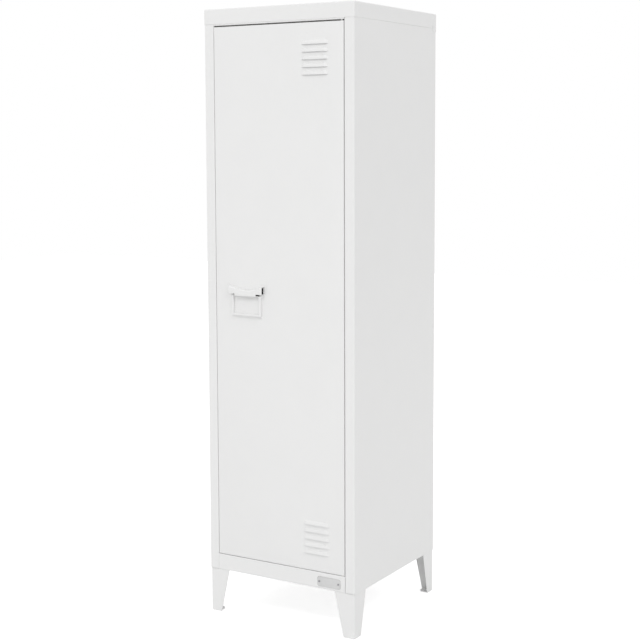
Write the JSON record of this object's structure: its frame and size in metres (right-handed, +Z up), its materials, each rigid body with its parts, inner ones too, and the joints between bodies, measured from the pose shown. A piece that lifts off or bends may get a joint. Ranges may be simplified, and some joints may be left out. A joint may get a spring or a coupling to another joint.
{
  "type": "metal locker",
  "caption": "Tall narrow sheet-steel locker with one louvred hinged door, a finger pull with label frame, adjustable shelves inside and tapered angle legs.",
  "frame": {"origin": "on the floor, under the middle of the whole outline, pull and rear screw heads included", "axes": "+X to the right seen from the front, +Y to the back, +Z up"},
  "size_m": [0.3816, 0.3924, 1.36],
  "materials": {
    "body_paint": "satin white powder coat",
    "zinc_steel": "zinc plated",
    "foot_plastic": "moulded grey",
    "hinge_plastic": "natural nylon",
    "catch_plastic": "moulded white",
    "magnet": "sintered ferrite",
    "buffer_rubber": "soft clear grey",
    "nameplate_metal": "satin, bare",
    "rivet_metal": "satin"
  },
  "bodies": {
    "cabinet": {"left_side_panel": "body_paint", "right_side_panel": "body_paint", "back_panel": "body_paint", "lid": "body_paint", "header": "body_paint", "bottom_rail": "body_paint", "floor_tray": "body_paint", "leg_front_left": "body_paint", "leg_front_right": "body_paint", "leg_rear_left": "body_paint", "leg_rear_right": "body_paint", "upright_front_left": "body_paint", "upright_front_right": "body_paint", "upright_rear_left": "body_paint", "upright_rear_right": "body_paint", "shelf_lower": "body_paint", "shelf_middle": "body_paint", "shelf_upper": "body_paint", "back_screws": "zinc_steel", "lid_screws": "zinc_steel", "rail_screws": "zinc_steel", "leg_screws": "zinc_steel", "foot_screws": "zinc_steel", "catch_screws": "zinc_steel", "shelf_clips_lower": "zinc_steel", "shelf_clips_middle": "zinc_steel", "shelf_clips_upper": "zinc_steel", "bottom_hinge_plate": "zinc_steel", "bottom_hinge_pin": "zinc_steel", "catch_poles": "zinc_steel", "foot_pad_front_left": "foot_plastic", "foot_pad_front_right": "foot_plastic", "foot_pad_rear_left": "foot_plastic", "foot_pad_rear_right": "foot_plastic", "thrust_washer": "hinge_plastic", "top_bush": "hinge_plastic", "catch_case": "catch_plastic", "catch_magnet": "magnet", "door_buffers": "buffer_rubber", "nameplate": "nameplate_metal", "nameplate_rivets": "rivet_metal"},
    "door": {"door_skin": "body_paint", "door_stiffener": "body_paint", "pull": "body_paint", "top_pin_bracket": "zinc_steel", "strike_plate": "zinc_steel", "pin_spring": "zinc_steel", "bottom_bush": "hinge_plastic", "pull_rivets": "rivet_metal", "strike_rivets": "rivet_metal"},
    "top_pin": {"top_hinge_pin": "zinc_steel", "pin_collar": "zinc_steel"}
  },
  "joints": [
    {"name": "door_hinge", "type": "hinge", "parent": "cabinet", "child": "door", "pos_m": [0.1577, -0.1807, 0], "axis": [0, 0, 1], "range_deg": [0, 110]},
    {"name": "top_pin_slide", "type": "slide", "parent": "door", "child": "top_pin", "axis": [0, 0, 1], "range_m": [-0.01, 0], "stiffness_N_per_m": 400, "springref_m": 0.01, "deforming": ["pin_spring"]}
  ]
}
